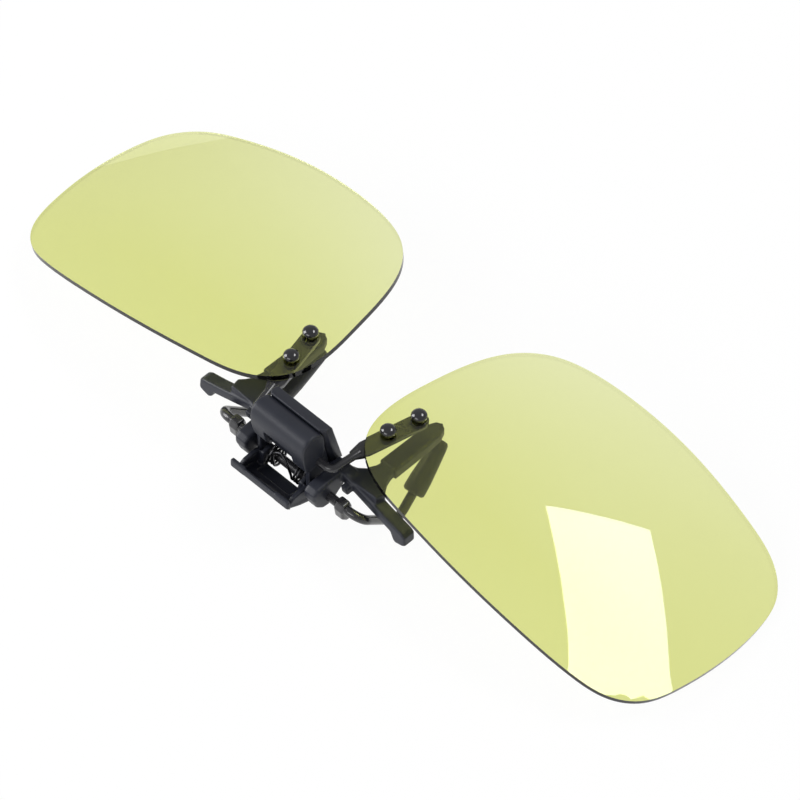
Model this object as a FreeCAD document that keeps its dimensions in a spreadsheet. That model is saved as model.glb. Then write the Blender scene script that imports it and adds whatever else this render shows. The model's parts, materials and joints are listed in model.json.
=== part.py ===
import FreeCAD, Part
import math
import os
import Sketcher

# Flip-up clip-on lenses, in millimetres. Every piece is drawn as the clip is worn: X across the face,
# Y forwards out of the lens fronts, Z up. One placement then lays the clip on its back, lens fronts up,
# with Z square to the table it lies on and the origin under the middle of its box.

SIZES = {
    # lenses
    "lensWidth": 61.1, "lensHeight": 43.3, "lensThickness": 0.8, "lensRadius": 128.0,
    "lensWrap": 13.0, "lensInner": 6.9,
    # flip wire and its leaves
    "flipAxisForward": 1.1, "flipAxisUp": 14.7, "flipWireRadius": 0.65, "flipWireBend": 1.2,
    "flipWireCorner": 8.0, "leafWidth": 2.8, "leafThickness": 0.7, "leafGap": 0.28, "leafLean": 13.0,
    "leafRoot": 4.1, "leafJoin": 4.9, "leafNeck": 6.3,
    "rivetInset": 3.1, "rivetInnerUp": 4.85, "rivetPitch": 5.4,
    # rivets
    "rivetHeadRadius": 1.25, "rivetHeadHeight": 1.0, "rivetShankRadius": 0.65, "rivetTailRadius": 1.1,
    "rivetTailHeight": 0.5, "rivetClearance": 0.05,
    # housing and cover
    "housingHalf": 5.5, "barrelRadius": 2.9, "barrelForward": 4.25, "barrelUp": 14.8,
    "housingBack": -1.8, "coverHalf": 5.65, "coverTop": 7.4, "coverThickness": 2.1, "coverLean": 14.7,
    "coverFaceUp": 12.38, "notchHalf": 2.6, "cheekWidth": 0.95, "cheekRadius": 1.45,
    # hinge
    "pinForward": -4.2, "pinUp": 15.2, "pinRadius": 0.75, "runningClearance": 0.05,
    # front frame
    "frameThickness": 1.5, "wingTop": 12.8, "wingBottom": 10.5, "wingHalf": 21.4, "earInner": 6.0,
    "earOuter": 8.3, "armInner": 10.9, "armOuter": 13.4, "armFront": -1.4, "armEnd": -3.6,
    "sleeveWall": 0.36, "sleeveStart": 6.9, "fitClearance": 0.05,
    # rear jaw
    "rearHalf": 14.6, "rearBackY": -12.3, "rearBackUp": 6.4, "tipAcross": 12.4, "tipForward": -5.1,
    "tipUp": -4.6, "rearBendRadius": 2.2, "rearSleeveBase": 1.75, "rearSleeveTip": 1.15,
    "rearSleeveLength": 9.0, "leverHalf": 5.3, "leverEnd": 21.6, "leverThickness": 1.0,
    "lugClearance": 0.2, "lugWidth": 0.75,
    "collarInner": 9.9, "collarOuter": 11.9,
    # clamp spring and detent
    "coilClearance": 0.1, "coilWireRadius": 0.2, "coilTurns": 2.75, "coilPitch": 0.5, "coilSideGap": 0.325,
    "camSide": 1.6, "camHalf": 1.5, "camRoom": 1.25, "stripThickness": 0.35,
    # how the clip lies on the table
    "lyingTilt": 0.95,
}

# The lens outline, outwards and upwards from the lens centre, for a lens 61.1 wide and 43.3 high.
OUTLINE_WIDTH = 61.1
OUTLINE_HEIGHT = 43.3
OUTLINE_INNER = 31.1
LENS_OUTLINE = [
    (-30.17, -7.0), (-28.21, -15.36), (-25.27, -21.3), (-21.4, -24.96), (-15.79, -27.21), (-8.23, -28.45),
    (-1.34, -28.89), (6.83, -28.66), (16.63, -27.54), (23.83, -25.62), (27.75, -22.07), (29.5, -16.59),
    (29.96, -7.52), (28.97, 1.03), (26.96, 7.03), (23.38, 10.62), (17.19, 12.77), (8.46, 13.94),
    (0.75, 14.36), (-8.15, 14.23), (-17.14, 13.42), (-25.31, 11.39), (-29.6, 7.76), (-31.1, 2.21),
]

Vector = FreeCAD.Vector
doc = FreeCAD.newDocument("flip_lens_clip")
sheet = doc.addObject("Spreadsheet::Sheet", "Sizes")
for row, (name, value) in enumerate(SIZES.items(), 1):
    sheet.set(f"A{row}", name)
    sheet.set(f"B{row}", str(value))
    sheet.setAlias(f"B{row}", name)
doc.recompute()


def size(name):
    """The number that the sheet holds under this alias."""
    return float(sheet.get(name))


def expression(text):
    """An expression over the sheet's names, as FreeCAD writes it."""
    for name in sorted(SIZES, key=len, reverse=True):
        text = text.replace(name, f"<<Sizes>>.{name[0]}\0{name[1:]}")
    return text.replace("\0", "")


def plane(body, role):
    return [feature for feature in body.Origin.OriginFeatures if feature.Role == role][0]


def new_body(label):
    body = doc.addObject("PartDesign::Body", label)
    body.Label = label
    return body


def new_sketch(body, role, offset="0"):
    sketch = body.newObject("Sketcher::SketchObject", body.Name + "_sketch")
    sketch.AttachmentSupport = [(plane(body, role), "")]
    sketch.MapMode = "FlatFace"
    sketch.setExpression("AttachmentOffset.Base.z", expression(offset))
    return sketch


def pin_down(sketch, geometry, position, across, up):
    """Holds one point of a sketch at two expressions."""
    for kind, text in (("DistanceX", across), ("DistanceY", up)):
        number = sketch.evalExpression(expression(text))
        index = sketch.addConstraint(Sketcher.Constraint(kind, -1, 1, geometry, position, float(number)))
        sketch.setExpression(f"Constraints[{index}]", expression(text))


def draw_polygon(sketch, corners):
    """A closed outline of straight lines through corners, each a pair of expressions."""
    points = []
    for across, up in corners:
        x_value = float(sketch.evalExpression(expression(across)))
        y_value = float(sketch.evalExpression(expression(up)))
        points.append(Vector(x_value, y_value, 0))
    count = len(points)
    first = sketch.GeometryCount
    for i in range(count):
        sketch.addGeometry(Part.LineSegment(points[i], points[(i + 1) % count]), False)
    for i in range(count):
        after = first + (i + 1) % count
        sketch.addConstraint(Sketcher.Constraint("Coincident", first + i, 2, after, 1))
    for i, (across, up) in enumerate(corners):
        pin_down(sketch, first + i, 1, across, up)


def draw_circle(sketch, across, up, radius):
    centre = Vector(float(sketch.evalExpression(expression(across))),
                    float(sketch.evalExpression(expression(up))), 0)
    number = float(sketch.evalExpression(expression(radius)))
    geometry = sketch.addGeometry(Part.Circle(centre, Vector(0, 0, 1), number), False)
    pin_down(sketch, geometry, 3, across, up)
    index = sketch.addConstraint(Sketcher.Constraint("Radius", geometry, number))
    sketch.setExpression(f"Constraints[{index}]", expression(radius))


def add(body, role, start, length, corners=None, circle=None):
    """Pads an outline from start, for length, along the normal of the body's own plane."""
    sketch = new_sketch(body, role, start)
    if corners:
        draw_polygon(sketch, corners)
    if circle:
        draw_circle(sketch, *circle)
    pad = body.newObject("PartDesign::Pad", body.Name + "_pad")
    pad.Profile = sketch
    pad.setExpression("Length", expression(length))
    doc.recompute()
    return pad


def cut(body, role, start, length, corners=None, circle=None):
    """Pockets an outline from start, for length, along the normal; it has to remove material."""
    before = body.Shape.Volume
    sketch = new_sketch(body, role, start)
    if corners:
        draw_polygon(sketch, corners)
    if circle:
        draw_circle(sketch, *circle)
    pocket = body.newObject("PartDesign::Pocket", body.Name + "_pocket")
    pocket.Profile = sketch
    pocket.Reversed = True
    pocket.setExpression("Length", expression(length))
    doc.recompute()
    assert body.Shape.Volume < before, f"a pocket in {body.Label} removed nothing"
    return pocket


def edges_where(shape, test):
    """The names of the edges whose middle point passes the test."""
    names = []
    for i, edge in enumerate(shape.Edges, 1):
        middle = edge.valueAt((edge.FirstParameter + edge.LastParameter) / 2)
        if test(edge, middle):
            names.append(f"Edge{i}")
    return names


def soften(body, radius, test, kind="Fillet"):
    """Rounds or bevels the edges that pass the test."""
    feature = body.newObject("PartDesign::" + kind, body.Name + "_" + kind.lower())
    base = [f for f in body.Group if f.isDerivedFrom("PartDesign::Feature") and f is not feature][-1]
    names = edges_where(base.Shape, test)
    feature.Base = (base, names)
    setattr(feature, "Radius" if kind == "Fillet" else "Size", radius)
    doc.recompute()
    return feature


def straight(edge):
    return edge.Curve.TypeId == "Part::GeomLine"


def runs_along(edge, axis):
    """True for a straight edge parallel to one axis."""
    if not straight(edge):
        return False
    step = edge.Vertexes[-1].Point.sub(edge.Vertexes[0].Point)
    return abs(getattr(step, axis)) > 0.999 * step.Length


def feature_of(label, shape):
    piece = doc.addObject("Part::Feature", label)
    piece.Label = label
    piece.Shape = shape
    return piece


PIECES = []
SIDES = (("right", 1), ("left", -1))


# ---------------------------------------------------------------- where things are
def lens_middle():
    """How far across the outline's own origin lies: the lens starts at its inner edge and grows outwards."""
    return size("lensInner") + size("lensWidth") * OUTLINE_INNER / OUTLINE_WIDTH


def lens_centre_of_curvature(side):
    """Where the lens's sphere is centred: behind the lens, along its wrapped normal."""
    wrap = math.radians(size("lensWrap"))
    radius = size("lensRadius")
    return Vector(side * (lens_middle() - radius * math.sin(wrap)), -radius * math.cos(wrap), 0)


def lens_front_at(across, up):
    """How far forward the right lens's front surface is at a place in X and Z."""
    middle = lens_centre_of_curvature(1)
    reach = size("lensRadius") ** 2 - (across - middle.x) ** 2 - up ** 2
    return middle.y + math.sqrt(reach)


def rivet_places():
    """The two rivets of the right lens, in X and Z, along the leaning leaf."""
    lean = math.radians(size("leafLean"))
    inner = (size("lensInner") + size("rivetInset"), size("rivetInnerUp"))
    step = size("rivetPitch")
    return [inner, (inner[0] + step * math.sin(lean), inner[1] - step * math.cos(lean))]


def leaf_front():
    """The leaf lies flat against the back of the lens, at its nearer rivet."""
    lowest = min(lens_front_at(*place) for place in rivet_places())
    return lowest - size("lensThickness") - size("leafGap")


# ---------------------------------------------------------------- lenses
def lens_prism(side):
    """The outline of one lens, carried square to the lens through its whole depth."""
    scale_x = size("lensWidth") / OUTLINE_WIDTH
    scale_z = size("lensHeight") / OUTLINE_HEIGHT
    points = [Vector(side * x * scale_x, 0, z * scale_z) for x, z in LENS_OUTLINE]
    curve = Part.BSplineCurve()
    curve.interpolate(points, PeriodicFlag=True)
    face = Part.Face(Part.Wire([curve.toShape()]))
    depth = size("lensRadius") / 2
    solid = face.extrude(Vector(0, depth, 0))
    solid.translate(Vector(0, -depth / 2, 0))
    solid.rotate(Vector(0, 0, 0), Vector(0, 0, 1), -side * size("lensWrap"))
    solid.translate(Vector(side * lens_middle(), 0, 0))
    return solid


def make_lens(word, side):
    name = "lens_" + word
    centre = lens_centre_of_curvature(side)
    balls = []
    for label, text in (("outer", "lensRadius"), ("inner", "lensRadius - lensThickness")):
        ball = doc.addObject("Part::Sphere", f"{name}_{label}_ball")
        ball.setExpression("Radius", expression(text))
        ball.Placement = FreeCAD.Placement(centre, FreeCAD.Rotation(Vector(1, 0, 0), 0))
        balls.append(ball)
    shell = doc.addObject("Part::Cut", name + "_shell")
    shell.Base, shell.Tool = balls
    prism = feature_of(name + "_outline", lens_prism(side))
    blank = doc.addObject("Part::Common", name + "_blank")
    blank.Base, blank.Tool = shell, prism
    drills = []
    for i, (across, up) in enumerate(rivet_places()):
        drill = doc.addObject("Part::Cylinder", f"{name}_drill_{i}")
        drill.setExpression("Radius", expression("rivetShankRadius + rivetClearance"))
        drill.Height = 20
        drill.Placement = FreeCAD.Placement(Vector(side * across, 12, up), FreeCAD.Rotation(Vector(1, 0, 0), 90))
        drills.append(drill)
    holes = doc.addObject("Part::MultiFuse", name + "_holes")
    holes.Shapes = drills
    lens = doc.addObject("Part::Cut", name)
    lens.Label = name
    lens.Base, lens.Tool = blank, holes
    PIECES.append(lens)


# ---------------------------------------------------------------- flip wire, leaves and rivets
def rounded_path(points, radius):
    """Straight runs joined by tangent arcs of one radius."""
    edges = []
    start = points[0]
    for before, corner, after in zip(points, points[1:], points[2:]):
        back = before.sub(corner).normalize()
        ahead = after.sub(corner).normalize()
        half = back.getAngle(ahead) / 2
        setback = radius / math.tan(half)
        bisector = back.add(ahead).normalize()
        first = corner.add(Vector(back).multiply(setback))
        last = corner.add(Vector(ahead).multiply(setback))
        middle = corner.add(Vector(bisector).multiply(radius / math.sin(half) - radius))
        edges.append(Part.LineSegment(start, first).toShape())
        edges.append(Part.Arc(first, middle, last).toShape())
        start = last
    edges.append(Part.LineSegment(start, points[-1]).toShape())
    return Part.Wire(edges)


def tube_along(points, bend, radius):
    """A round wire along a path of straight runs and arcs."""
    path = rounded_path(points, bend)
    direction = points[1].sub(points[0])
    section = Part.Wire([Part.Circle(points[0], direction, radius).toShape()])
    tube = path.makePipeShell([section], True, False)
    expected = math.pi * radius ** 2 * path.Length
    assert abs(tube.Volume - expected) < 0.02 * expected, "a wire came out with the wrong volume"
    return tube


def leaf_solid(side):
    """One flattened end: a leaning strip with a round end, drilled for its two rivets."""
    half = size("leafWidth") / 2
    front = leaf_front()
    first, last = [Vector(x, front, z) for x, z in rivet_places()]
    along = last.sub(first).normalize()
    aside = Vector(-along.z, 0, along.x)
    root = first.sub(Vector(along).multiply(size("leafRoot")))
    neck = first.sub(Vector(along).multiply(size("leafNeck")))
    far = last.add(Vector(along).multiply(0.1 * half))

    def at(point, offset):
        return point.add(Vector(aside).multiply(offset))

    tip = far.add(Vector(along).multiply(half))
    edges = [
        Part.LineSegment(at(neck, -0.45 * half), at(root, -half)),
        Part.LineSegment(at(root, -half), at(far, -half)),
        Part.Arc(at(far, -half), tip, at(far, half)),
        Part.LineSegment(at(far, half), at(root, half)),
        Part.LineSegment(at(root, half), at(neck, 0.45 * half)),
        Part.LineSegment(at(neck, 0.45 * half), at(neck, -0.45 * half)),
    ]
    strip = Part.Face(Part.Wire([edge.toShape() for edge in edges]))
    strip = strip.extrude(Vector(0, -size("leafThickness"), 0))
    for x, z in rivet_places():
        strip = strip.cut(Part.makeCylinder(size("rivetShankRadius") + size("rivetClearance"), 10,
                                            Vector(x, front + 3, z), Vector(0, -1, 0)))
    if side < 0:
        strip = strip.mirror(Vector(0, 0, 0), Vector(1, 0, 0))
    return strip


def make_flip_wire():
    """The round wire through the housing, with both flattened leaves."""
    first, last = [Vector(x, 0, z) for x, z in rivet_places()]
    along = last.sub(first).normalize()
    join = first.sub(Vector(along).multiply(size("leafJoin")))
    middle_of_leaf = leaf_front() - size("leafThickness") / 2
    axis_y = size("flipAxisForward")
    axis_z = size("flipAxisUp")
    right = [Vector(size("flipWireCorner"), axis_y, axis_z), Vector(join.x, middle_of_leaf, join.z)]
    left = [Vector(-point.x, point.y, point.z) for point in reversed(right)]
    wire = tube_along(left + right, size("flipWireBend"), size("flipWireRadius"))
    shape = wire.fuse([leaf_solid(side) for word, side in SIDES]).removeSplitter()
    PIECES.append(feature_of("flip_wire", shape))


def rivet_shape(across, up):
    """A domed head on the lens front, a shank, and a spread tail behind the leaf."""
    seat = max(lens_front_at(*place) for place in rivet_places()) + size("rivetClearance")
    tail = leaf_front() - size("leafThickness") - size("rivetClearance") / 2
    head = Part.makeCylinder(size("rivetHeadRadius"), size("rivetHeadHeight"), Vector(0, seat, 0), Vector(0, 1, 0))
    crown = [e for e in head.Edges if e.Length > 1 and not straight(e) and e.CenterOfMass.y > seat + 0.5]
    head = head.makeFillet(0.62 * size("rivetHeadHeight"), crown)
    shank = Part.makeCylinder(size("rivetShankRadius"), seat - tail + 0.1, Vector(0, tail - 0.05, 0), Vector(0, 1, 0))
    foot = Part.makeCylinder(size("rivetTailRadius"), size("rivetTailHeight"), Vector(0, tail, 0), Vector(0, -1, 0))
    shape = head.fuse([shank, foot]).removeSplitter()
    shape.translate(Vector(across, 0, up))
    return shape


def make_rivets():
    solids = [rivet_shape(side * x, z) for word, side in SIDES for x, z in rivet_places()]
    PIECES.append(feature_of("lens_rivets", Part.makeCompound(solids)))


def make_cam():
    """The square block on the wire that the detent strip snaps against."""
    body = new_body("detent_cam")
    low = "flipAxisForward - camSide / 2"
    high = "flipAxisForward + camSide / 2"
    corners = [(low, "flipAxisUp - camSide / 2"), (high, "flipAxisUp - camSide / 2"),
               (high, "flipAxisUp + camSide / 2"), (low, "flipAxisUp + camSide / 2")]
    add(body, "YZ_Plane", "-camHalf", "camHalf * 2", corners)
    cut(body, "YZ_Plane", "-camHalf - 1", "camHalf * 2 + 2",
        circle=("flipAxisForward", "flipAxisUp", "flipWireRadius + 0.01"))
    soften(body, 0.2, lambda edge, middle: runs_along(edge, "x"))
    PIECES.append(body)


# ---------------------------------------------------------------- housing, cover and detent strip
def cover_face(forward, extra="0"):
    """Z of the leaning face between the housing and its cover, at a place in Y."""
    return f"coverFaceUp + ({forward}) * tan(coverLean * 1 deg) + ({extra})"


def make_housing():
    body = new_body("spring_housing")
    back, front = "housingBack", "barrelForward"
    top = "barrelUp + barrelRadius"
    corners = [(back, cover_face(back)), (front, cover_face(front)), (front, top),
               ("flipAxisForward - 0.8", top + " - 0.2"), (back, top + " - 1.4")]
    add(body, "YZ_Plane", "-housingHalf", "housingHalf * 2", corners)
    add(body, "YZ_Plane", "-housingHalf", "housingHalf * 2", circle=(front, "barrelUp", "barrelRadius"))
    far = "barrelForward + barrelRadius + 1"
    cut(body, "YZ_Plane", "-housingHalf - 1", "housingHalf * 2 + 2",
        [("housingBack - 1", cover_face("housingBack - 1")), (far, cover_face(far)),
         (far, "coverFaceUp - 4"), ("housingBack - 1", "coverFaceUp - 4")])
    soften(body, 0.35, lambda edge, middle: abs(abs(middle.x) - size("housingHalf")) < 0.01
           and middle.y > size("flipAxisForward") and middle.z > size("barrelUp") - 0.5)
    for start in ("housingHalf - cheekWidth", "-housingHalf"):
        add(body, "YZ_Plane", start, "cheekWidth",
            [("housingBack + 0.5", "pinUp - cheekRadius"), ("housingBack + 0.5", "pinUp + cheekRadius"),
             ("pinForward", "pinUp + cheekRadius"), ("pinForward", "pinUp - cheekRadius")])
        add(body, "YZ_Plane", start, "cheekWidth", circle=("pinForward", "pinUp", "cheekRadius"))
    cut(body, "YZ_Plane", "-housingHalf - 1", "housingHalf * 2 + 2",
        circle=("pinForward", "pinUp", "pinRadius + runningClearance"))
    cut(body, "YZ_Plane", "-housingHalf - 1", "housingHalf * 2 + 2",
        circle=("flipAxisForward", "flipAxisUp", "flipWireRadius + runningClearance"))
    cut(body, "YZ_Plane", "-camHalf - 0.4", "camHalf * 2 + 0.8",
        [("flipAxisForward - camRoom", cover_face("flipAxisForward - camRoom")),
         ("flipAxisForward + camRoom", cover_face("flipAxisForward + camRoom")),
         ("flipAxisForward + camRoom", "flipAxisUp + camRoom"),
         ("flipAxisForward - camRoom", "flipAxisUp + camRoom")])
    cut(body, "YZ_Plane", "-notchHalf", "notchHalf * 2",
        [("housingBack - 1", "flipAxisUp + camRoom"), ("barrelForward - 0.5", "flipAxisUp + camRoom"),
         ("barrelForward - 0.5", "barrelUp + barrelRadius + 1"),
         ("housingBack - 1", "barrelUp + barrelRadius + 1")])
    PIECES.append(body)


def make_cover():
    """The slab that closes the housing over the detent strip."""
    body = new_body("detent_cover")
    corners = [("housingBack", cover_face("housingBack")), ("coverTop", cover_face("coverTop")),
               ("coverTop - 0.6", cover_face("coverTop", "-coverThickness")),
               ("housingBack", cover_face("housingBack", "-coverThickness"))]
    add(body, "YZ_Plane", "-coverHalf", "coverHalf * 2", corners)
    soften(body, 0.7, lambda edge, middle: abs(abs(middle.x) - size("coverHalf")) < 0.01
           and middle.z > size("coverFaceUp") + (middle.y - 0.2) * math.tan(math.radians(size("coverLean")))
           and middle.y > -1 and middle.y < size("coverTop") - 0.1, "Chamfer")
    soften(body, 0.25, lambda edge, middle: middle.y > size("coverTop") - 0.8)
    PIECES.append(body)


def make_strip():
    """The flat spring strip that presses the cam, against the cover's face."""
    body = new_body("detent_strip")
    low, high = "flipAxisForward - camRoom + 0.05", "flipAxisForward + camRoom - 0.05"
    add(body, "YZ_Plane", "-camHalf - 0.2", "camHalf * 2 + 0.4",
        [(low, cover_face(low, "0.02")), (high, cover_face(high, "0.02")),
         (high, cover_face(high, "0.02 + stripThickness")), (low, cover_face(low, "0.02 + stripThickness"))])
    PIECES.append(body)


# ---------------------------------------------------------------- front frame and its sleeves
def make_frame():
    body = new_body("front_frame")
    add(body, "XY_Plane", "wingBottom - 0.3", "wingTop - wingBottom + 0.3",
        [("-earInner - 1", "housingBack"), ("earInner + 1", "housingBack"),
         ("earInner + 1", "housingBack - frameThickness"), ("-earInner - 1", "housingBack - frameThickness")])
    for sign in ("", "-"):
        def side(text):
            return f"{sign}({text})"

        add(body, "XY_Plane", "wingBottom", "wingTop - wingBottom",
            [(side("earInner"), "-1"), (side("earOuter + 0.4"), "-1"), (side("wingHalf"), "-4.9"),
             (side("wingHalf"), "-6.9"), (side("wingHalf - 2.3"), "-7.4"), (side("wingHalf - 3"), "-5.6"),
             (side("earOuter + 0.4"), "-1.2 - frameThickness"), (side("earInner"), "housingBack - frameThickness")])
        add(body, "XZ_Plane", "-armFront", "frameThickness",
            [(side("earOuter - 1"), "wingTop - 0.1"), (side("earOuter - 1"), "wingBottom"),
             (side("armInner - 0.8"), "wingBottom - 1.8"), (side("armInner"), "sleeveStart + 0.4"),
             (side("armInner"), "armEnd"), (side("armOuter"), "armEnd"),
             (side("armOuter"), "wingBottom - 1.6"), (side("armOuter + 0.5"), "wingBottom - 0.4"),
             (side("armOuter + 1.2"), "wingBottom + 0.2"), (side("armOuter + 0.6"), "wingTop - 0.1")])
    for start in ("earInner", "-earOuter"):
        add(body, "YZ_Plane", start, "earOuter - earInner",
            [("-0.8", "wingTop"), ("-0.8", "wingBottom + 0.3"), ("-3.2", "wingBottom + 0.4"),
             ("pinForward - 1.6", "pinUp - 1.8"), ("pinForward - 2", "pinUp - 0.8"),
             ("pinForward - 2", "pinUp + 1.2"), ("pinForward - 1.3", "pinUp + 2.1"),
             ("-2.3", "pinUp + 3.1"), ("-1.6", "pinUp + 2.9"), ("-1.1", "pinUp + 1.4")])
    cut(body, "YZ_Plane", "-earOuter - 1", "earOuter * 2 + 2",
        circle=("pinForward", "pinUp", "pinRadius + runningClearance"))
    soften(body, 0.45, lambda edge, middle: runs_along(edge, "x") and abs(middle.x) > size("earInner")
           and abs(middle.x) < size("earOuter") and (middle.z > size("pinUp") + 1 or middle.y < -5))
    soften(body, 0.5, lambda edge, middle: runs_along(edge, "z") and abs(middle.x) > size("wingHalf") - 4)
    PIECES.append(body)


def make_front_sleeve(word, side):
    """The soft sleeve pushed over the arm of the front jaw, closed at its tip."""
    body = new_body("front_sleeve_" + word)
    sign = "" if side > 0 else "-"
    inner, outer = f"{sign}(armInner - sleeveWall)", f"{sign}(armOuter + sleeveWall)"
    end = "armEnd - sleeveWall * 2.2"
    front = "-(armFront + sleeveWall)"
    depth = "frameThickness + sleeveWall * 2"
    add(body, "XZ_Plane", front, depth,
        [(inner, "sleeveStart"), (outer, "sleeveStart"), (outer, end), (inner, end)])
    soften(body, 0.5, lambda edge, middle: runs_along(edge, "z"))
    soften(body, 0.3, lambda edge, middle: middle.z < size("armEnd") - 0.5)
    gap = "fitClearance"
    cut(body, "XZ_Plane", f"-(armFront + {gap})", f"frameThickness + 2 * {gap}",
        [(f"{sign}(armInner - {gap})", "sleeveStart + 1"), (f"{sign}(armOuter + {gap})", "sleeveStart + 1"),
         (f"{sign}(armOuter + {gap})", f"armEnd - {gap}"), (f"{sign}(armInner - {gap})", f"armEnd - {gap}")])
    PIECES.append(body)


# ---------------------------------------------------------------- rear jaw
def rear_corners(side):
    """The rear wire's corners beyond the middle: outer end, deepest bend and tip."""
    return [Vector(side * size("rearHalf"), size("pinForward"), size("pinUp")),
            Vector(side * (size("rearHalf") - 0.4), size("rearBackY"), size("rearBackUp")),
            Vector(side * size("tipAcross"), size("tipForward"), size("tipUp"))]


def make_rear_wire():
    """One wire: the hinge pin through the frame, bent back and then down to each jaw tip."""
    right = rear_corners(1)
    direction = right[2].sub(right[1]).normalize()
    right[2] = right[2].sub(Vector(direction).multiply(1.2))
    left = [Vector(-p.x, p.y, p.z) for p in reversed(right)]
    wire = tube_along(left + right, size("rearBendRadius"), size("pinRadius"))
    PIECES.append(feature_of("rear_wire", wire))


def make_rear_sleeve(word, side):
    """The tapered soft sleeve on the rear wire's end, closed at its tip."""
    name = "rear_sleeve_" + word
    corners = rear_corners(side)
    direction = corners[2].sub(corners[1]).normalize()
    start = corners[2].sub(Vector(direction).multiply(size("rearSleeveLength")))
    turn = FreeCAD.Rotation(Vector(0, 0, 1), direction)
    cone = doc.addObject("Part::Cone", name + "_cone")
    cone.setExpression("Radius1", expression("rearSleeveBase"))
    cone.setExpression("Radius2", expression("rearSleeveTip"))
    cone.setExpression("Height", expression("rearSleeveLength"))
    cone.Placement = FreeCAD.Placement(start, turn)
    bore = doc.addObject("Part::Cylinder", name + "_bore")
    bore.setExpression("Radius", expression("pinRadius + 0.01"))
    bore.setExpression("Height", expression("rearSleeveLength - 1.2 + fitClearance"))
    bore.Placement = FreeCAD.Placement(start, turn)
    doc.recompute()
    rounded = doc.addObject("Part::Fillet", name + "_rounded")
    rounded.Base = cone
    rims = []
    for i, edge in enumerate(cone.Shape.Edges, 1):
        if not straight(edge):
            rims.append((i, 0.4, 0.4))
    rounded.Edges = rims
    sleeve = doc.addObject("Part::Cut", name)
    sleeve.Label = name
    sleeve.Base, sleeve.Tool = rounded, bore
    PIECES.append(sleeve)


def make_lever():
    """The finger lever: a scooped plate with side walls and two lugs that grip the rear wire."""
    body = new_body("finger_lever")
    thick = "leverThickness"
    rim = "leverEnd"
    add(body, "YZ_Plane", "-leverHalf", "leverHalf * 2",
        [("pinForward - 1.4", "pinUp + 2.1"), ("pinForward - 1.9", "pinUp + 3.4"),
         ("pinForward - 1.7", f"{rim} - 1.9"), ("pinForward - 0.9", f"{rim} - 1.05"),
         ("pinForward + 1.2", f"{rim} - 0.75"), ("pinForward + 1.2", f"{rim}"),
         ("pinForward - 0.6", f"{rim}"), ("pinForward - 1.9", f"{rim} - 0.6"),
         (f"pinForward - 1.8 - {thick}", f"{rim} - 1.8"), (f"pinForward - 1.9 - {thick}", "pinUp + 3.6"),
         (f"pinForward - 1.3 - {thick}", "pinUp + 2.1")])
    for start in ("leverHalf - 0.8", "-leverHalf"):
        add(body, "YZ_Plane", start, "0.8",
            [("pinForward - 1.6", "pinUp + 2.5"), ("pinForward + 1.2", "pinUp + 2.9"),
             ("pinForward + 1.5", f"{rim} - 1.8"), ("pinForward + 1", f"{rim} - 0.3"),
             ("pinForward - 1.2", f"{rim} - 0.6"), ("pinForward - 1.9", f"{rim} - 1.6"),
             ("pinForward - 2.1", "pinUp + 3.4")])
    lug_outer = "housingHalf - cheekWidth - lugClearance"
    for start in (f"-({lug_outer})", f"{lug_outer} - lugWidth"):
        add(body, "YZ_Plane", start, "lugWidth",
            [("pinForward - 1.3", "pinUp"), ("pinForward + 1.2", "pinUp"), ("pinForward + 1", "pinUp + 3"),
             ("pinForward - 1.5", "pinUp + 4"), (f"pinForward - 1.2 - {thick}", "pinUp + 2.3")])
        add(body, "YZ_Plane", start, "lugWidth", circle=("pinForward", "pinUp", "1.3"))
    cut(body, "YZ_Plane", "-leverHalf - 1", "leverHalf * 2 + 2", circle=("pinForward", "pinUp", "pinRadius + 0.01"))
    for sign in ("", "-"):
        cut(body, "XZ_Plane", "3", "9",
            [(f"{sign}(leverHalf + 1)", f"{rim} - 2.4"), (f"{sign}leverHalf", f"{rim} - 2.4"),
             (f"{sign}(leverHalf - 0.6)", f"{rim} - 0.9"), (f"{sign}(leverHalf - 2.4)", f"{rim} - 0.25"),
             (f"{sign}1.2", f"{rim} + 0.02"), (f"{sign}1.2", f"{rim} + 1"), (f"{sign}(leverHalf + 1)", f"{rim} + 1")])
    cut(body, "XZ_Plane", "-(pinForward - 1.2)", "0.95",
        [("-3.5", "pinUp + 2"), ("3.5", "pinUp + 2"), ("3.5", "pinUp + 4.2"), ("-3.5", "pinUp + 4.2")])
    PIECES.append(body)


def make_collars():
    """Two small blocks crimped on the rear wire outside the frame's ears."""
    low, high = "collarInner", "collarOuter - collarInner"
    solids = []
    for start in (low, "-collarOuter"):
        body = new_body("collar_blank" if start == low else "collar_blank_left")
        add(body, "YZ_Plane", start, high,
            [("pinForward + 1.1", "pinUp - 1.1"), ("pinForward + 1.1", "pinUp + 1"),
             ("pinForward - 1.6", "pinUp + 1"), ("pinForward - 2.6", "pinUp + 0.2"),
             ("pinForward - 2.6", "pinUp - 1.1")])
        cut(body, "YZ_Plane", f"{start} - 1", f"{high} + 2", circle=("pinForward", "pinUp", "pinRadius + 0.01"))
        soften(body, 0.25, lambda edge, middle: runs_along(edge, "x"))
        solids.append(body.Shape.copy())
    PIECES.append(feature_of("wire_collars", Part.makeCompound(solids)))


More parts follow.
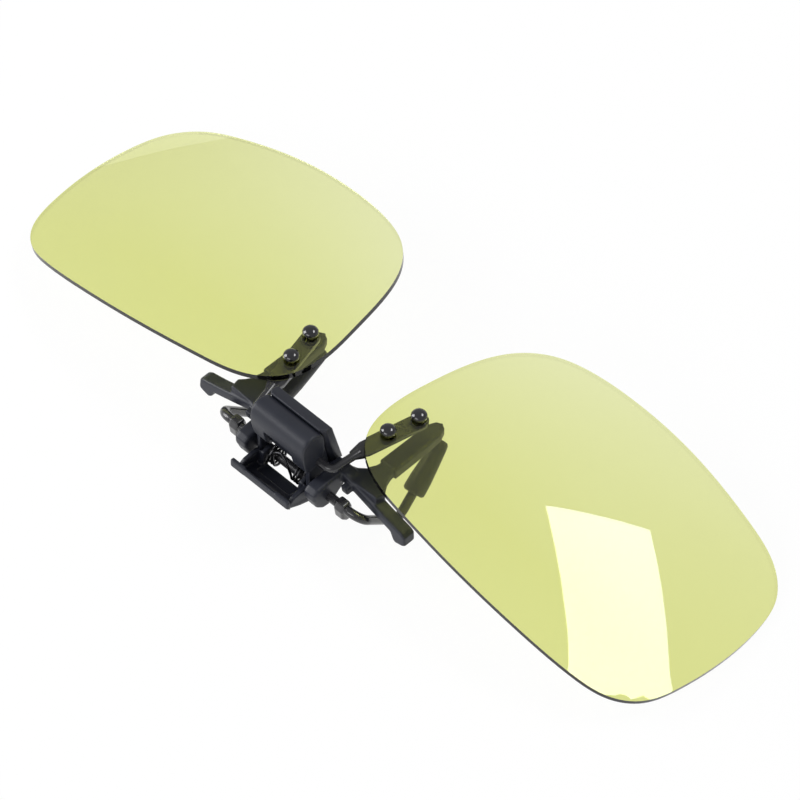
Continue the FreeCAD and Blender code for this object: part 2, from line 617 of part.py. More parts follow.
# ---------------------------------------------------------------- clamp spring
def make_clamp_spring():
    """Two coils round the rear wire, joined by a bridge that bears in the housing's notch."""
    wire = size("coilWireRadius")
    radius = size("pinRadius") + size("coilClearance") + wire
    turns, pitch = size("coilTurns"), size("coilPitch")
    pin_y, pin_z = size("pinForward"), size("pinUp")
    length = turns * pitch
    lug_inner = size("housingHalf") - size("cheekWidth") - size("lugClearance") - size("lugWidth")
    start = lug_inner - size("coilSideGap") - wire - length
    bridge_y = size("housingBack") + 2
    top = pin_z + radius
    corner = 2.5 * wire
    helix = Part.makeHelix(pitch, length, radius)
    helix.rotate(Vector(0, 0, 0), Vector(0, 1, 0), 90)
    helix.rotate(Vector(0, 0, 0), Vector(1, 0, 0), 180)
    helix.translate(Vector(start, pin_y, pin_z))
    finish = Vector(start + length, pin_y + radius, pin_z)
    diagonal = corner * (1 - math.sqrt(0.5))
    edges = [
        Part.LineSegment(Vector(0, bridge_y, top), Vector(start - corner, bridge_y, top)).toShape(),
        Part.Arc(Vector(start - corner, bridge_y, top), Vector(start - diagonal, bridge_y - diagonal, top),
                 Vector(start, bridge_y - corner, top)).toShape(),
        Part.LineSegment(Vector(start, bridge_y - corner, top), Vector(start, pin_y, top)).toShape(),
    ] + helix.Edges + [Part.LineSegment(finish, finish.add(Vector(0, 0, 1.2))).toShape()]
    path = Part.Wire(edges)
    section = Part.Wire([Part.Circle(Vector(0, bridge_y, top), Vector(1, 0, 0), wire).toShape()])
    half = path.makePipeShell([section], True, False)
    expected = math.pi * wire ** 2 * path.Length
    assert abs(half.Volume - expected) < 0.03 * expected, "the spring came out with the wrong volume"
    other = half.mirror(Vector(0, 0, 0), Vector(1, 0, 0))
    PIECES.append(feature_of("clamp_spring", half.fuse(other).removeSplitter()))


for word, side in SIDES:
    make_lens(word, side)
make_flip_wire()
make_rivets()
make_cam()
make_housing()
make_cover()
make_strip()
make_frame()
for word, side in SIDES:
    make_front_sleeve(word, side)
make_rear_wire()
for word, side in SIDES:
    make_rear_sleeve(word, side)
make_lever()
make_collars()
make_clamp_spring()
doc.recompute()

# ---------------------------------------------------------------- laying the clip down, checks and files
turn = FreeCAD.Rotation(Vector(1, 0, 0), 90 - size("lyingTilt"))
box = FreeCAD.BoundBox()
for piece in PIECES:
    shape = piece.Shape.copy()
    shape.Placement = FreeCAD.Placement(Vector(0, 0, 0), turn).multiply(shape.Placement)
    box.add(shape.optimalBoundingBox(False))
lying = FreeCAD.Placement(Vector(0, -box.Center.y, -box.ZMin), turn)
for piece in PIECES:
    piece.Placement = lying.multiply(piece.Placement)
doc.recompute()

for thing in doc.Objects:
    assert "Invalid" not in thing.State and "Error" not in thing.State, f"{thing.Label} failed: {thing.State}"
os.makedirs("parts", exist_ok=True)
for piece in PIECES:
    shape = piece.Shape
    assert not shape.isNull() and shape.isValid(), f"{piece.Label} is not a valid shape"
    print(piece.Label, len(shape.Solids), round(shape.Volume, 2))
    shape.exportStep(f"parts/{piece.Label}.step")


def lying_point(forward, up):
    point = lying.multVec(Vector(0, forward, up))
    return [round(value, 4) for value in point]


print("flip axis", lying_point(size("flipAxisForward"), size("flipAxisUp")))
print("jaw axis", lying_point(size("pinForward"), size("pinUp")))
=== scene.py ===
"""Clip-on flip lenses, lying on a white floor: finishes, finished shapes, light and camera."""
import bpy
import json
import math
from mathutils import Matrix, Vector

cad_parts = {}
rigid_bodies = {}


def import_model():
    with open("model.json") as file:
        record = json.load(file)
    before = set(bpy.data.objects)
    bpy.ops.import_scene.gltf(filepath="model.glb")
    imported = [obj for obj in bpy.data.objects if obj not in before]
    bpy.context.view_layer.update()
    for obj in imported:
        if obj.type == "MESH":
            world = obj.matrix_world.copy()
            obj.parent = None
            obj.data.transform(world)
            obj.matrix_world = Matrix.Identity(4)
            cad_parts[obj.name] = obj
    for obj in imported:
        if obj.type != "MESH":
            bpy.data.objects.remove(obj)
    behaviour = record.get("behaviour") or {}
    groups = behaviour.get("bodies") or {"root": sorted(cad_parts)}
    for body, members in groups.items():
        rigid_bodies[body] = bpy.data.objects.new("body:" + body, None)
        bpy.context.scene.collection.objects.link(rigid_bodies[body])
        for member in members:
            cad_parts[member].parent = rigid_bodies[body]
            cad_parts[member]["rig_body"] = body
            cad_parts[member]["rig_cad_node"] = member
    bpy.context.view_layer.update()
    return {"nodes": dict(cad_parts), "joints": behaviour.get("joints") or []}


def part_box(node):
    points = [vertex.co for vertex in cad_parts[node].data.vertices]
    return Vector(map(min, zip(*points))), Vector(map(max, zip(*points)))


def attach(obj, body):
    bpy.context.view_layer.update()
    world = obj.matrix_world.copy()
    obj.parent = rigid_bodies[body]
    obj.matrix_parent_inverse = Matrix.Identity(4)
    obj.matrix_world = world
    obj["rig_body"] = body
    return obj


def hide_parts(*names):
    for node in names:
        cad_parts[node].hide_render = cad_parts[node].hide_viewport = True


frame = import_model()
nodes = frame["nodes"]
scene = bpy.context.scene

MM = 0.001
SIDES = (("right", 1), ("left", -1))

# ---------------------------------------------------------------- from the clip as worn to how it lies
# Pieces are modelled as worn, in millimetres: X to the wearer's right, Y forwards, Z up.
FLIP_AXIS = Vector((0, 1.1, 14.7))
JAW_AXIS = Vector((0, -4.2, 15.2))


def lying_matrix():
    """Carries a point as worn, in millimetres, to the frame that the clip lies in, in metres."""
    places = {joint["name"]: Vector(joint["pos_m"]) / MM for joint in frame["joints"]}
    worn = JAW_AXIS - FLIP_AXIS
    lying = places["jaw_squeeze"] - places["lens_flip"]
    angle = math.atan2(lying.z, lying.y) - math.atan2(worn.z, worn.y)
    turn = Matrix.Rotation(angle, 4, "X")
    shift = Matrix.Translation(places["lens_flip"] - turn @ FLIP_AXIS)
    return Matrix.Scale(MM, 4) @ shift @ turn


LYING = lying_matrix()


# ---------------------------------------------------------------- modelling helpers
MERGE_CAD = 2e-6
MERGE_FINISHED = 1e-6
FLAT_WITHIN = math.radians(1.5)
EASED_CORNER = math.radians(32)


def only(piece):
    bpy.ops.object.select_all(action="DESELECT")
    piece.select_set(True)
    bpy.context.view_layer.objects.active = piece


def joined(parts):
    """Parts made one object, the first of them."""
    only(parts[0])
    for part in parts[1:]:
        part.select_set(True)
    if len(parts) > 1:
        bpy.ops.object.join()
    return parts[0]


def edit(piece):
    """Opens a piece for editing with all of its mesh selected."""
    only(piece)
    bpy.ops.object.mode_set(mode="EDIT")
    bpy.ops.mesh.select_all(action="SELECT")


def leave_edit():
    bpy.ops.object.mode_set(mode="OBJECT")


def apply_modifier(piece, kind, **settings):
    only(piece)
    modifier = piece.modifiers.new(kind.lower(), kind)
    for name, value in settings.items():
        setattr(modifier, name, value)
    bpy.ops.object.modifier_apply(modifier=modifier.name)


def smooth(piece, degrees):
    only(piece)
    bpy.ops.object.shade_smooth_by_angle(angle=math.radians(degrees))


def linked(name, data):
    """A new object in the scene."""
    made = bpy.data.objects.new(name, data)
    scene.collection.objects.link(made)
    return made


def copy_of(node, name):
    """A merged copy of a CAD node, ready to be finished."""
    piece = nodes[node].copy()
    piece.data = nodes[node].data.copy()
    piece.parent = None
    piece.name = name
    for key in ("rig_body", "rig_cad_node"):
        if key in piece:
            del piece[key]
    scene.collection.objects.link(piece)
    edit(piece)
    bpy.ops.mesh.remove_doubles(threshold=MERGE_CAD)
    bpy.ops.mesh.dissolve_limited(angle_limit=FLAT_WITHIN)
    leave_edit()
    return piece


def eased(node, name, width):
    """A copy of a CAD node whose sharp edges are eased."""
    piece = copy_of(node, name)
    apply_modifier(piece, "BEVEL", width=width * MM, segments=3, limit_method="ANGLE",
                   angle_limit=EASED_CORNER, use_clamp_overlap=True)
    smooth(piece, 40)
    return piece


def paint(piece, material):
    piece.data.materials.clear()
    piece.data.materials.append(material)


def place(piece, body, slot, material, *replaced):
    """Gives a piece its material and its body, and hides the CAD nodes it stands for; slot is not used."""
    paint(piece, material)
    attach(piece, body)
    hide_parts(*replaced)


# ---------------------------------------------------------------- shader maths
def add_node(tree, kind, settings=None, inputs=None):
    """A shader node with its settings; each input is a number, a colour or a link."""
    made = tree.nodes.new(kind)
    for name, value in (settings or {}).items():
        setattr(made, name, value)
    for name, value in (inputs or {}).items():
        if isinstance(value, Value):
            value = value.socket
        if isinstance(value, bpy.types.NodeSocket):
            tree.links.new(value, made.inputs[name])
        else:
            made.inputs[name].default_value = value
    return made


class Value:
    """A number socket; arithmetic on it adds Math nodes."""

    def __init__(self, tree, socket):
        self.tree = tree
        self.socket = socket

    def maths(self, operation, *numbers):
        made = add_node(self.tree, "ShaderNodeMath", {"operation": operation}, dict(enumerate(numbers)))
        return Value(self.tree, made.outputs[0])

    def __add__(self, other):
        return self.maths("ADD", self, other)

    def __sub__(self, other):
        return self.maths("SUBTRACT", self, other)

    def __rsub__(self, other):
        return self.maths("SUBTRACT", other, self)

    def __mul__(self, other):
        return self.maths("MULTIPLY", self, other)

    __radd__ = __add__
    __rmul__ = __mul__


def seen_by(tree, *kinds):
    """1 for rays of these kinds, 0 for the rest."""
    rays = add_node(tree, "ShaderNodeLightPath")
    seen = Value(tree, rays.outputs[kinds[0]])
    for kind in kinds[1:]:
        seen = seen.maths("MAXIMUM", seen, rays.outputs[kind])
    return seen


class Finish:
    """One material under construction."""

    def __init__(self, name):
        self.material = bpy.data.materials.new(name)
        self.material.use_nodes = True
        self.tree = self.material.node_tree
        self.shader = self.tree.nodes["Principled BSDF"]

    def node(self, kind, settings=None, inputs=None):
        return add_node(self.tree, kind, settings, inputs)

    def value(self, node, output=0):
        return Value(self.tree, node.outputs[output])

    def point(self):
        return self.node("ShaderNodeTexCoord").outputs["Object"]

    def noise(self, scale, detail=2.0, roughness=0.5):
        return self.value(self.node("ShaderNodeTexNoise", {}, {
            "Vector": self.point(), "Scale": scale, "Detail": detail, "Roughness": roughness}))

    def ramp(self, factor, low, high):
        """Carries factor from low..high to 0..1, clamped."""
        return self.value(self.node("ShaderNodeMapRange", {"clamp": True}, {
            "Value": factor, "From Min": low, "From Max": high, "To Min": 0.0, "To Max": 1.0}))

    def vector(self, operation, first, second=None):
        vectors = {0: first} if second is None else {0: first, 1: second}
        return self.node("ShaderNodeVectorMath", {"operation": operation}, vectors).outputs

    def mix(self, factor, first, second):
        """A colour between two: each is three numbers or a link."""
        first, second = (colour if isinstance(colour, bpy.types.NodeSocket) else (*colour, 1)
                         for colour in (first, second))
        return self.node("ShaderNodeMix", {"data_type": "RGBA"}, {
            "Factor": factor, 6: first, 7: second}).outputs[2]

    def bump(self, height, strength, distance):
        self.set("Normal", self.node("ShaderNodeBump", {}, {
            "Height": height, "Strength": strength, "Distance": distance}).outputs[0])

    def set(self, socket, value):
        if isinstance(value, Value):
            value = value.socket
        if isinstance(value, bpy.types.NodeSocket):
            self.tree.links.new(value, self.shader.inputs[socket])
        else:
            self.shader.inputs[socket].default_value = value


# ---------------------------------------------------------------- finishes
def moulded_plastic():
    """Blue-black moulded plastic, fine matt grain, a little polished on the high places."""
    finish = Finish("moulded_plastic")
    cloud = finish.noise(260, 3)
    grain = finish.noise(5200, 3, 0.6)
    wear = finish.noise(1400)
    finish.set("Base Color", finish.mix(cloud, (0.0085, 0.0100, 0.0165), (0.0165, 0.0190, 0.0300)))
    finish.set("Roughness", 0.36 + 0.14 * cloud + 0.06 * wear)
    finish.bump(grain + 0.5 * wear, 0.22, 0.00003)
    finish.set("Specular IOR Level", 0.42)
    return finish.material


def black_plating():
    """Gloss black plated wire with the faint marks of drawing and bending."""
    finish = Finish("black_plating")
    marks = finish.noise(3000)
    patches = finish.noise(380, 3)
    finish.set("Base Color", finish.mix(patches, (0.010, 0.010, 0.012), (0.022, 0.022, 0.026)))
    finish.set("Roughness", 0.17 + 0.13 * patches + 0.04 * marks)
    finish.bump(marks, 0.10, 0.00002)
    finish.set("Coat Roughness", 0.08)
    finish.set("Coat Weight", 0.35)
    return finish.material


def rivet_gloss():
    """Polished black rivet heads."""
    finish = Finish("rivet_gloss")
    patches = finish.noise(900)
    finish.set("Base Color", finish.mix(patches, (0.006, 0.006, 0.008), (0.012, 0.012, 0.015)))
    finish.set("Roughness", 0.07 + 0.07 * patches)
    finish.set("Coat Weight", 0.6)
    finish.set("Coat Roughness", 0.05)
    return finish.material


def soft_rubber():
    """Satin black rubber with a slightly dusty, uneven skin."""
    finish = Finish("soft_rubber")
    dust = finish.noise(700, 4, 0.6)
    skin = finish.noise(4200)
    finish.set("Base Color", finish.mix(dust, (0.010, 0.0105, 0.012), (0.030, 0.032, 0.035)))
    finish.set("Roughness", 0.34 + 0.2 * dust)
    finish.bump(skin + dust, 0.25, 0.00004)
    finish.set("Specular IOR Level", 0.45)
    return finish.material


def spring_wire():
    """Dark drawn spring steel."""
    finish = Finish("spring_wire")
    drawn = finish.noise(2600)
    finish.set("Base Color", finish.mix(drawn, (0.025, 0.025, 0.028), (0.075, 0.075, 0.08)))
    finish.set("Metallic", 1.0)
    finish.set("Roughness", 0.24 + 0.16 * drawn)
    finish.bump(drawn, 0.15, 0.00002)
    return finish.material


# Each lens is part of a sphere, wrapped back a little about the middle of the lens.
LENS_RADIUS = 128.0
LENS_WRAP = math.radians(13.0)
LENS_CENTRE = 38.0
TINT_DEEP = (0.712, 0.742, 0.262)
TINT_PALE = (0.82, 0.85, 0.50)
TINT_EDGE = (0.42, 0.45, 0.20)


def lens_tint(word, side):
    """Clear yellow-green tint, paler low down and towards the nose, with a darker cut edge."""
    finish = Finish("lens_tint_" + word)
    point = finish.point()
    split = finish.node("ShaderNodeSeparateXYZ", {}, {0: point})
    across = side * finish.value(split, 0) - LENS_CENTRE * MM
    along = finish.value(split, 1)
    lens_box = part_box("lens_" + word)
    middle = (lens_box[0].y + lens_box[1].y) / 2
    low = finish.ramp(along, middle - 0.012, middle + 0.022)
    inward = finish.ramp(across, 0.026, -0.026)
    pale = low * inward * 0.7 + low * 0.3
    cloud = finish.noise(45)
    body = finish.mix(0.10 * cloud + pale * 0.9, TINT_DEEP, TINT_PALE)

    # The cut edge is where the surface turns away from the line to the middle of the sphere.
    centre = LYING @ Vector((side * (LENS_CENTRE - LENS_RADIUS * math.sin(LENS_WRAP)),
                             -LENS_RADIUS * math.cos(LENS_WRAP), 0))
    outward = finish.vector("NORMALIZE", finish.vector("SUBTRACT", point, centre[:])[0])[0]
    normal = finish.node("ShaderNodeTexCoord").outputs["Normal"]
    facing = finish.vector("DOT_PRODUCT", outward, normal)["Value"]
    flat = finish.value(finish.node("ShaderNodeMath", {"operation": "ABSOLUTE"}, {0: facing}))
    edge = 1 - finish.ramp(flat, 0.55, 0.8)
    finish.set("Base Color", finish.mix(edge, body, TINT_EDGE))
    smear = finish.noise(160, 3)
    finish.set("Roughness", 0.004 + 0.012 * smear)
    finish.set("Transmission Weight", 1.0)
    finish.set("IOR", 1.5)
    return finish.material


PLASTIC = moulded_plastic()
PLATING = black_plating()
GLOSS = rivet_gloss()
RUBBER = soft_rubber()
SPRING = spring_wire()

# CAD nodes that are shown as they are, with their finish.
for word, side in SIDES:
    paint(nodes["lens_" + word], lens_tint(word, side))
for node, material in (("detent_cam", PLATING), ("rear_wire", PLATING), ("detent_strip", SPRING)):
    paint(nodes[node], material)

# ---------------------------------------------------------------- plates, tubes and joined mouldings
AXES = {
    "x": Matrix(((0, 0, 1, 0), (1, 0, 0, 0), (0, 1, 0, 0), (0, 0, 0, 1))),
    "y": Matrix(((1, 0, 0, 0), (0, 0, -1, 0), (0, 1, 0, 0), (0, 0, 0, 1))),
    "z": Matrix.Identity(4),
}


def curve_mesh(name, points, smooth_line=False, closed=False, **settings):
    """A curve through points, each with its radius, made a mesh."""
    curve = bpy.data.curves.new(name, "CURVE")
    for key, value in settings.items():
        setattr(curve, key, value)
    line = curve.splines.new("NURBS" if smooth_line else "POLY")
    line.points.add(len(points) - 1)
    for point, (x, y, z, radius) in zip(line.points, points):
        point.co = (x, y, z, 1)
        point.radius = radius
    line.use_cyclic_u = closed
    if smooth_line:
        line.order_u = 3
        line.use_endpoint_u = not closed
        line.resolution_u = 8
    only(linked(name, curve))
    bpy.ops.object.convert(target="MESH")
    return bpy.context.object


def plate(outline, axis, start, end, ease=0.25, curved=False):
    """A flat piece: an outline square to one axis, from start to end, its edges eased."""
    piece = curve_mesh("plate", [(a, b, 0, 1) for a, b in outline], smooth_line=curved, closed=True,
                       dimensions="2D", fill_mode="BOTH", extrude=(end - start) / 2 - ease,
                       bevel_depth=ease, bevel_resolution=3, offset=-ease)
    middle = (start + end) / 2
    shift = Matrix.Translation((0, 0, -middle if axis == "y" else middle))
    piece.data.transform(AXES[axis] @ shift)
    return piece


def tube(points, smooth_line=True):
    """A round bar along points, each with its own radius."""
    return curve_mesh("tube", points, smooth_line=smooth_line, dimensions="3D", bevel_depth=1.0,
                      bevel_resolution=7, use_fill_caps=True)


def both_sides(outline, axis, start, end, **settings):
    """The same plate on the right and mirrored on the left."""
    right_piece = plate(outline, axis, start, end, **settings)
    only(right_piece)
    bpy.ops.object.duplicate()
    left_piece = bpy.context.object
    left_piece.data.transform(Matrix.Scale(-1, 4, (1, 0, 0)))
    left_piece.data.flip_normals()
    return [right_piece, left_piece]


def laid_down(piece, name):
    """A piece made as worn, moved to where it lies."""
    piece.data.transform(LYING)
    edit(piece)
    bpy.ops.mesh.remove_doubles(threshold=MERGE_FINISHED)
    bpy.ops.mesh.normals_make_consistent(inside=False)
    leave_edit()
    piece.name = name
    smooth(piece, 60)
    return piece


def run_together(piece, grain):
    apply_modifier(piece, "REMESH", mode="VOXEL", voxel_size=grain, adaptivity=0.0)


def moulding(name, parts, grain, rounds, cutter=None):
    """Parts run together into one moulding with softly blended corners, laid down in its place."""
    piece = joined(parts)
    run_together(piece, grain)
    if cutter:
        apply_modifier(piece, "BOOLEAN", operation="DIFFERENCE", object=cutter, solver="EXACT")
        bpy.data.objects.remove(cutter)
        run_together(piece, grain)
    apply_modifier(piece, "SMOOTH", factor=0.5, iterations=rounds)
    return laid_down(piece, name)


# ---------------------------------------------------------------- housing
def make_housing():
    """Barrel over the flip wire, with a notch for the spring and cheeks that hold the pin."""
    barrel = plate([(5.6, 13.6), (6.8, 14.2), (7.4, 15.4), (7.35, 16.8), (6.7, 17.8), (5.3, 18.15),
                    (3.2, 17.95), (1.2, 17.45), (0.2, 17.15), (-0.1, 16.5), (0.3, 15.0), (1.5, 13.5),
                    (4.0, 13.4)], "x", -5.5, 5.5, ease=0.3, curved=True)
    inner = plate([(-1.8, 12.1), (5.6, 13.9), (5.6, 15.5), (1.0, 16.2), (-1.4, 15.6)],
                  "x", -5.3, 5.3, ease=0.1)
    cheeks = both_sides([(1.0, 13.5), (1.0, 16.7), (-3.8, 16.45), (-4.9, 16.0), (-5.4, 15.2), (-5.0, 14.3),
                         (-4.0, 13.95), (-1.0, 12.8)], "x", 4.6, 5.45, ease=0.15)
    notch = plate([(-3, 16.0), (3.3, 16.0), (3.3, 19), (-3, 19)], "x", -2.7, 2.7, ease=0.05)
    piece = moulding("spring_housing_moulding", [barrel, inner] + cheeks, 0.12, 5, notch)
    place(piece, "frame", "black_plastic", PLASTIC, "spring_housing")


# ---------------------------------------------------------------- front frame
def make_front_frame():
    """Bridge, foot bars, front jaw arms and ears in one moulding."""
    bridge = plate([(-7, -3.3), (7, -3.3), (7, -1.8), (-7, -1.8)], "z", 10.2, 12.8, ease=0.2)
    bars = both_sides([(5.8, -0.9), (8.8, -0.9), (13.6, -2.3), (17.6, -3.6), (20.6, -4.4), (21.3, -4.9),
                       (21.4, -6.6), (20.9, -7.0), (19.4, -7.4), (18.9, -7.0), (18.3, -5.7), (14.0, -4.3),
                       (9.6, -2.8), (5.8, -3.3)], "z", 10.5, 12.8, ease=0.35)
    arms = both_sides([(7.3, 12.7), (7.3, 10.6), (9.0, 10.0), (10.2, 8.9), (10.75, 7.8), (10.9, 6.6),
                       (11.1, -3.5), (13.1, -3.5), (13.4, 6.4), (13.5, 7.6), (13.9, 8.8), (14.6, 9.9),
                       (15.3, 10.7), (15.0, 12.4)], "y", -2.95, -1.3, ease=0.25)
    ears = both_sides([(-0.8, 12.5), (-0.8, 10.7), (-3.2, 10.9), (-4.9, 13.0), (-6.0, 14.1), (-6.3, 15.2),
                       (-6.15, 16.4), (-5.2, 17.5), (-3.2, 18.3), (-1.9, 18.4), (-1.2, 17.6),
                       (-1.0, 16.0)], "x", 6.0, 8.3, ease=0.45)
    teeth = both_sides([(-1.8, 12.5), (-3.4, 12.5), (-3.4, 13.7), (-1.9, 14.0)], "x", 9.3, 10.6, ease=0.2)
    piece = moulding("front_frame_moulding", [bridge] + bars + arms + ears + teeth, 0.14, 5)
    place(piece, "frame", "black_plastic", PLASTIC, "front_frame")


# ---------------------------------------------------------------- jaw sleeves
REAR_TIP = (12.4, -5.1, -4.6)
REAR_BEND = (14.2, -12.3, 6.4)


def make_front_sleeve(word, side):
    outline = [(10.5, 6.9), (10.6, 0), (10.75, -3.0), (11.3, -4.2), (11.9, -4.45), (12.15, -4.75),
               (12.5, -4.45), (13.0, -4.2), (13.5, -3.0), (13.7, 0), (13.75, 6.9)]
    sleeve = plate([(side * x, z) for x, z in outline], "y", -3.3, -1.05, ease=0.5)
    piece = moulding("front_sleeve_moulding_" + word, [sleeve], 0.11, 4)
    place(piece, "frame", "black_rubber", RUBBER, "front_sleeve_" + word)


def make_rear_sleeve(word, side):
    """A tapered sleeve, from the tip of the rear leg towards its bend: (reach, radius)."""
    tip, bend = (Vector((side * x, y, z)) for x, y, z in (REAR_TIP, REAR_BEND))
    along = (bend - tip).normalized()
    stations = [(-0.02, 0.4), (0.05, 0.85), (0.4, 1.12), (1.2, 1.25), (4.0, 1.5), (6.5, 1.7), (8.2, 1.75),
                (8.7, 1.7), (8.95, 1.4), (9.0, 0.8)]
    sleeve = tube([(*(tip + along * reach), radius) for reach, radius in stations], smooth_line=False)
    place(laid_down(sleeve, "rear_sleeve_moulding_" + word), "rear_jaw", "black_rubber", RUBBER,
          "rear_sleeve_" + word)


# ---------------------------------------------------------------- finger lever and collars
def make_lever():
    """Scooped finger plate with a turned rim, two walls, and two lugs on the wire."""
    tray = plate([(-6.0, 16.2), (-5.5, 18.0), (-5.0, 19.6), (-4.3, 20.7), (-3.0, 20.9), (-2.7, 21.2),
                  (-2.8, 21.6), (-3.9, 21.6), (-4.9, 20.9), (-5.9, 19.0), (-6.6, 17.4), (-7.0, 16.2)],
                 "x", -5.5, 5.5, ease=0.2)
    walls = both_sides([(-3.5, 16.6), (-3.4, 18.2), (-3.6, 19.6), (-4.3, 20.5), (-5.2, 20.4), (-6.3, 18.4),
                        (-7.2, 15.9), (-6.0, 15.4), (-4.2, 15.9)], "x", 4.6, 5.4, ease=0.15)
    lugs = both_sides([(-3.3, 14.6), (-3.1, 15.6), (-3.4, 16.9), (-6.2, 17.4), (-6.7, 16.2), (-5.3, 14.6),
                       (-4.4, 14.1)], "x", 3.6, 4.35, ease=0.15)
    webs = both_sides([(-5.2, 15.8), (-5.4, 17.2), (-6.6, 17.2), (-6.6, 15.8)], "x", 3.6, 5.3, ease=0.1)
    rim = both_sides([(-2.6, 20.9), (-2.7, 21.6), (-4.0, 21.6), (-4.7, 20.8)], "x", 3.0, 6.0, ease=0.25)
    pocket = plate([(-5.9, 15.6), (-5.45, 18.6), (-4.0, 18.6), (-4.0, 15.6)], "x", -3.4, 3.4, ease=0.02)
    pocket.data.transform(Matrix.Translation((0, -0.28, 0)))
    piece = moulding("finger_lever_moulding", [tray] + walls + lugs + webs + rim, 0.12, 4, pocket)
    place(piece, "rear_jaw", "black_plastic", PLASTIC, "finger_lever")


def make_collars():
    parts = both_sides([(-3.1, 14.4), (-3.1, 15.9), (-4.4, 16.2), (-6.2, 15.9), (-7.0, 15.1), (-7.1, 14.2),
                        (-6.4, 13.8), (-4.2, 13.95)], "x", 10.0, 11.9, ease=0.4)
    place(moulding("wire_collars_crimped", parts, 0.11, 4), "rear_jaw", "black_wire", PLATING,
          "wire_collars")


# ---------------------------------------------------------------- clamp spring and rivets
SPRING_WIRE = 0.2
COIL_RADIUS = 1.42
COIL_START = math.radians(80)
COIL_TURNS = 2.75
COIL_STEPS = 48
COIL_INNER = 1.8
COIL_LENGTH = 1.45


def make_springs():
    """Two loose coils on the pin with long legs that meet under the housing."""
    parts = []
    for _, side in SIDES:
        points = [(0, -0.2, 16.9), (0.9, -0.4, 17.1), (1.5, -1.4, 17.1), (1.75, -2.8, 16.9)]
        for step in range(COIL_STEPS + 1):
            angle = COIL_START + 2 * math.pi * COIL_TURNS * step / COIL_STEPS
            points.append((COIL_INNER + COIL_LENGTH * step / COIL_STEPS,
                           JAW_AXIS.y + COIL_RADIUS * math.cos(angle),
                           JAW_AXIS.z + COIL_RADIUS * math.sin(angle)))
        points.append((3.35, -5.6, 16.6))
        parts.append(tube([(side * x, y, z, SPRING_WIRE) for x, y, z in points]))
    place(laid_down(joined(parts), "clamp_spring_wound"), "frame", "spring_steel", SPRING, "clamp_spring")


RIVETS = ((10.0, 4.85), (11.215, -0.412))
RIVET_PROFILE = [(0.0, 0.04), (-0.04, 0.42), (-0.16, 0.78), (-0.36, 1.07), (-0.62, 1.24), (-0.88, 1.28),
                 (-0.97, 1.22), (-1.0, 0.66), (-2.9, 0.66), (-2.92, 1.0), (-3.1, 1.08), (-3.3, 0.9),
                 (-3.4, 0.1)]


def make_rivets():
    """Four domed heads, each with its shank and the spread tail behind the leaf: (depth, radius)."""
    crown = (LYING.inverted() @ Vector((0, 0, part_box("lens_rivets")[1].z))).y
    parts = [tube([(side * across, crown + depth, upward, radius) for depth, radius in RIVET_PROFILE],
                  smooth_line=False)
             for across, upward in RIVETS for _, side in SIDES]
    place(laid_down(joined(parts), "lens_rivets_domed"), "lenses", "rivet_black", GLOSS, "lens_rivets")


place(eased("detent_cover", "cover_finished", 0.14), "frame", "black_plastic", PLASTIC, "detent_cover")
place(eased("flip_wire", "flip_wire_finished", 0.12), "lenses", "black_wire", PLATING, "flip_wire")
make_housing()
make_front_frame()
for word, side in SIDES:
    make_front_sleeve(word, side)
    make_rear_sleeve(word, side)
make_lever()
make_collars()
make_springs()
make_rivets()

# ---------------------------------------------------------------- floor and world
BACKDROP_SHARE = 0.95
WORLD_LIGHT = 0.46
WORLD_SEEN = 1.0


def backdrop_white(name):
    """White to the camera and in gloss and glass; a little of it takes the object's shadow."""
    finish = Finish(name)
    finish.set("Base Color", (0.9, 0.9, 0.9, 1))
    finish.set("Roughness", 0.9)
    finish.set("Specular IOR Level", 0.0)
    share = seen_by(finish.tree, "Is Camera Ray", "Is Glossy Ray", "Is Transmission Ray") * BACKDROP_SHARE
    white = finish.node("ShaderNodeEmission", {}, {"Color": (1, 1, 1, 1), "Strength": 1.0})
    both = finish.node("ShaderNodeMixShader", {}, {
        0: share, 1: finish.shader.outputs[0], 2: white.outputs[0]})
    finish.tree.links.new(both.outputs[0], finish.tree.nodes["Material Output"].inputs["Surface"])
    return finish.material


bpy.ops.object.select_all(action="DESELECT")
bpy.ops.mesh.primitive_plane_add(size=6, location=(0, 0, 0))
floor = bpy.context.object
floor.name = "floor"
floor.data.materials.append(backdrop_white("floor_white"))

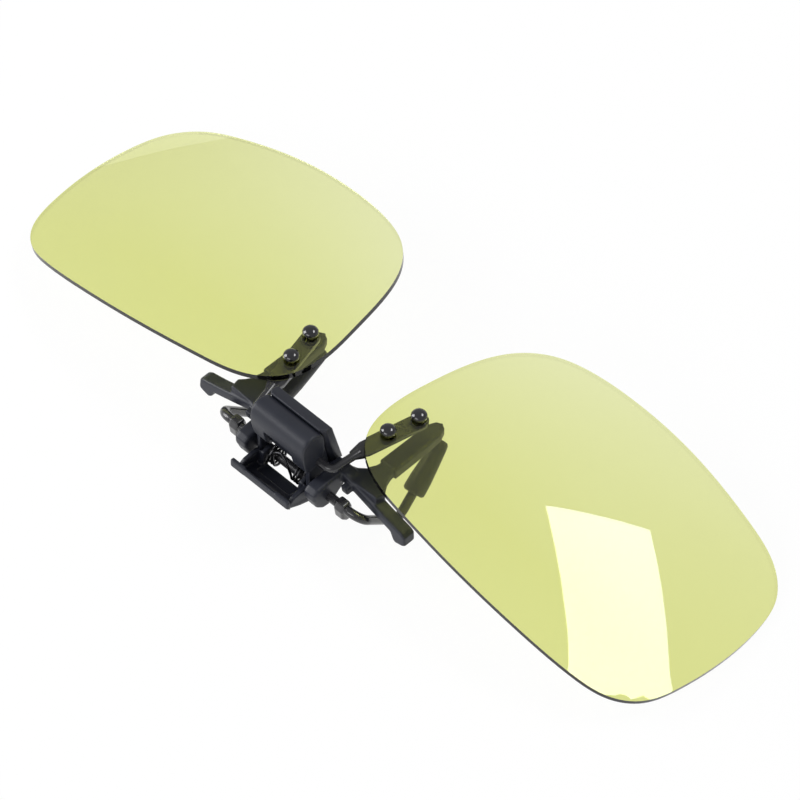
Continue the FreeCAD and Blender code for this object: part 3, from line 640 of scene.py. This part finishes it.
world = bpy.data.worlds.new("studio")
world.use_nodes = True
scene.world = world
sky = world.node_tree
strength = add_node(sky, "ShaderNodeMapRange", {}, {
    "Value": seen_by(sky, "Is Camera Ray", "Is Transmission Ray"),
    "To Min": WORLD_LIGHT, "To Max": WORLD_SEEN})
background = sky.nodes["Background"]
background.inputs["Color"].default_value = (1, 1, 1, 1)
sky.links.new(strength.outputs[0], background.inputs["Strength"])

# ---------------------------------------------------------------- lamps
CLIP_MIDDLE = Vector((0, -0.004, 0.01))


def lamp(name, width, height, watts):
    """A rectangular lamp that shines downwards until it is turned."""
    light = bpy.data.lights.new(name, "AREA")
    light.shape = "RECTANGLE"
    light.size = width
    light.size_y = height
    light.energy = watts
    return linked(name, light)


def softbox(name, direction, distance, width, height, watts):
    """A lamp that faces the clip from a direction."""
    toward = Vector(direction).normalized()
    holder = lamp(name, width, height, watts)
    holder.location = CLIP_MIDDLE + toward * distance
    holder.rotation_euler = toward.to_track_quat("Z", "Y").to_euler()


softbox("left_window", (-0.80, -0.55, 0.42), 0.7, 0.35, 0.55, 4.2)
softbox("back_fill", (0.1, -0.9, 0.5), 0.8, 0.5, 0.3, 1.6)
# The panel stands where the right-hand lens mirrors it to the camera.
panel = lamp("window_panel", 0.25, 0.40, 2.6)
panel.location = (0.215, 0.417, 0.708)
panel.rotation_euler = (0, 0, math.radians(52))

# ---------------------------------------------------------------- camera, placed as the clip is worn
CAMERA_CENTRE = Vector((335.4326, 603.1414, 365.1556))
CAMERA_RIGHT = Vector((0.718183, 0.030817, -0.695171))
CAMERA_FORWARD = Vector((-0.423443, -0.773403, -0.471745))

camera_data = bpy.data.cameras.new("camera")
camera_data.sensor_width = 36.0
camera_data.lens = 237.131
camera_data.clip_start = 0.01
camera = linked("camera", camera_data)
lying_turn = LYING.to_3x3().normalized()
right = lying_turn @ CAMERA_RIGHT
forward = lying_turn @ CAMERA_FORWARD
up = right.cross(forward).normalized()
turn = Matrix((right, up, -forward)).transposed().to_4x4()
camera.matrix_world = Matrix.Translation(LYING @ CAMERA_CENTRE) @ turn
scene.camera = camera
scene.view_settings.view_transform = "Standard"
